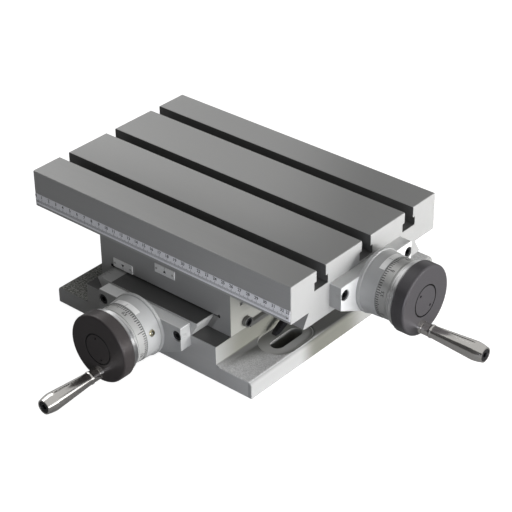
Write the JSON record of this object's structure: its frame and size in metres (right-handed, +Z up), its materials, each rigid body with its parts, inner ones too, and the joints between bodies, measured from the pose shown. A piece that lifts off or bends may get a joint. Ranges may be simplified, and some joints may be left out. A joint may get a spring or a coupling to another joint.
{
  "type": "cross slide table",
  "caption": "Compound cross slide table with T-slots, dovetail slides, graduated dials and handwheels with turned handles.",
  "frame": {"origin": "centre of the base's underside", "axes": "+Z up; +X right, towards the handwheel at the table's end; -Y towards the operator and the front handwheel"},
  "size_m": [0.4689, 0.4205, 0.1233],
  "materials": {
    "ground_iron": "ground and milled cast iron",
    "painted_iron": "light grey enamel, satin",
    "turned_steel": "turned bright steel",
    "dial_silver": "satin silver with black graduations",
    "dark_steel": "blackened steel, soft sheen",
    "polished_chrome": "polished chrome",
    "bronze": "machined bronze",
    "oiler_brass": "plated brass",
    "plate_aluminium": "satin plate",
    "gib_steel": "ground steel",
    "lever_black": "black oxide",
    "rule_steel": "satin steel with black graduations"
  },
  "bodies": {
    "base": {"base_casting": "ground_iron", "y_bracket": "painted_iron", "y_bracket_screws": "dark_steel", "y_bearing_outer_rings": "turned_steel", "y_retaining_ring": "dark_steel", "y_oiler_body": "oiler_brass", "y_oiler_ball": "turned_steel"},
    "y_crank": {"y_screw": "turned_steel", "y_bearing_inner_rings": "turned_steel", "y_drive_key": "turned_steel", "y_dial_hub": "polished_chrome", "y_handwheel": "dark_steel", "y_hub_cap": "dark_steel", "y_end_nut": "turned_steel", "y_handle_stud": "polished_chrome", "y_handle_screw": "dark_steel"},
    "y_dial": {"y_dial_ring": "dial_silver"},
    "y_grip": {"y_handle_grip": "polished_chrome"},
    "saddle": {"saddle_casting": "ground_iron", "y_gib": "gib_steel", "x_gib": "gib_steel", "y_gib_screws": "dark_steel", "y_gib_lock_nuts": "dark_steel", "x_gib_screws": "dark_steel", "x_gib_lock_nuts": "dark_steel", "y_nut": "bronze", "y_nut_screws": "dark_steel", "x_nut": "bronze", "x_nut_screws": "dark_steel", "y_index_plate": "plate_aluminium", "x_index_plate": "plate_aluminium", "index_plate_pins": "turned_steel", "y_lock_plug": "bronze", "x_lock_plug": "bronze"},
    "y_lock_lever": {"y_lock_screw": "lever_black", "y_lock_arm": "lever_black"},
    "x_lock_lever": {"x_lock_screw": "lever_black", "x_lock_arm": "lever_black"},
    "table": {"table_casting": "ground_iron", "table_rule": "rule_steel", "rule_pins": "turned_steel", "x_bracket": "painted_iron", "x_bracket_screws": "dark_steel", "x_bearing_outer_rings": "turned_steel", "x_retaining_ring": "dark_steel", "x_oiler_body": "oiler_brass", "x_oiler_ball": "turned_steel"},
    "x_crank": {"x_screw": "turned_steel", "x_bearing_inner_rings": "turned_steel", "x_drive_key": "turned_steel", "x_dial_hub": "polished_chrome", "x_handwheel": "dark_steel", "x_hub_cap": "dark_steel", "x_end_nut": "turned_steel", "x_handle_stud": "polished_chrome", "x_handle_screw": "dark_steel"},
    "x_dial": {"x_dial_ring": "dial_silver"},
    "x_grip": {"x_handle_grip": "polished_chrome"}
  },
  "joints": [
    {"name": "saddle_slide", "type": "slide", "parent": "base", "child": "saddle", "axis": [0, 1, 0], "range_m": [-0.031, 0.087]},
    {"name": "y_crank_turn", "type": "hinge", "parent": "base", "child": "y_crank", "pos_m": [0, -0.14075, 0.0354], "axis": [0, 1, 0], "range_deg": [-2791, 7831]},
    {"name": "table_slide", "type": "slide", "parent": "saddle", "child": "table", "axis": [1, 0, 0], "range_m": [-0.066, 0.094]},
    {"name": "x_crank_turn", "type": "hinge", "parent": "table", "child": "x_crank", "pos_m": [0.15625, -0.01175, 0.0837], "axis": [1, 0, 0], "range_deg": [-5941, 8461]},
    {"name": "y_dial_turn", "type": "hinge", "parent": "y_crank", "child": "y_dial", "pos_m": [0, -0.14075, 0.0354], "axis": [0, 1, 0], "continuous": true},
    {"name": "x_dial_turn", "type": "hinge", "parent": "x_crank", "child": "x_dial", "pos_m": [0.15625, -0.01175, 0.0837], "axis": [1, 0, 0], "continuous": true},
    {"name": "y_grip_spin", "type": "hinge", "parent": "y_crank", "child": "y_grip", "pos_m": [0, -0.24075, 0.0099], "axis": [0, 1, 0], "continuous": true},
    {"name": "x_grip_spin", "type": "hinge", "parent": "x_crank", "child": "x_grip", "pos_m": [0.25625, -0.01749, 0.05885], "axis": [1, 0, 0], "continuous": true},
    {"name": "y_lock_swing", "type": "hinge", "parent": "saddle", "child": "y_lock_lever", "pos_m": [0.084, -0.0987, 0.04637], "axis": [1, 0, 0], "range_deg": [-12, 24]},
    {"name": "x_lock_swing", "type": "hinge", "parent": "saddle", "child": "x_lock_lever", "pos_m": [0.07, 0.09585, 0.07637], "axis": [0, 1, 0], "range_deg": [-12, 40]}
  ],
  "couplings": [
    {"joint": "y_crank_turn", "follows": "saddle_slide", "rad_per_m": 1570.8},
    {"joint": "x_crank_turn", "follows": "table_slide", "rad_per_m": 1570.8}
  ]
}
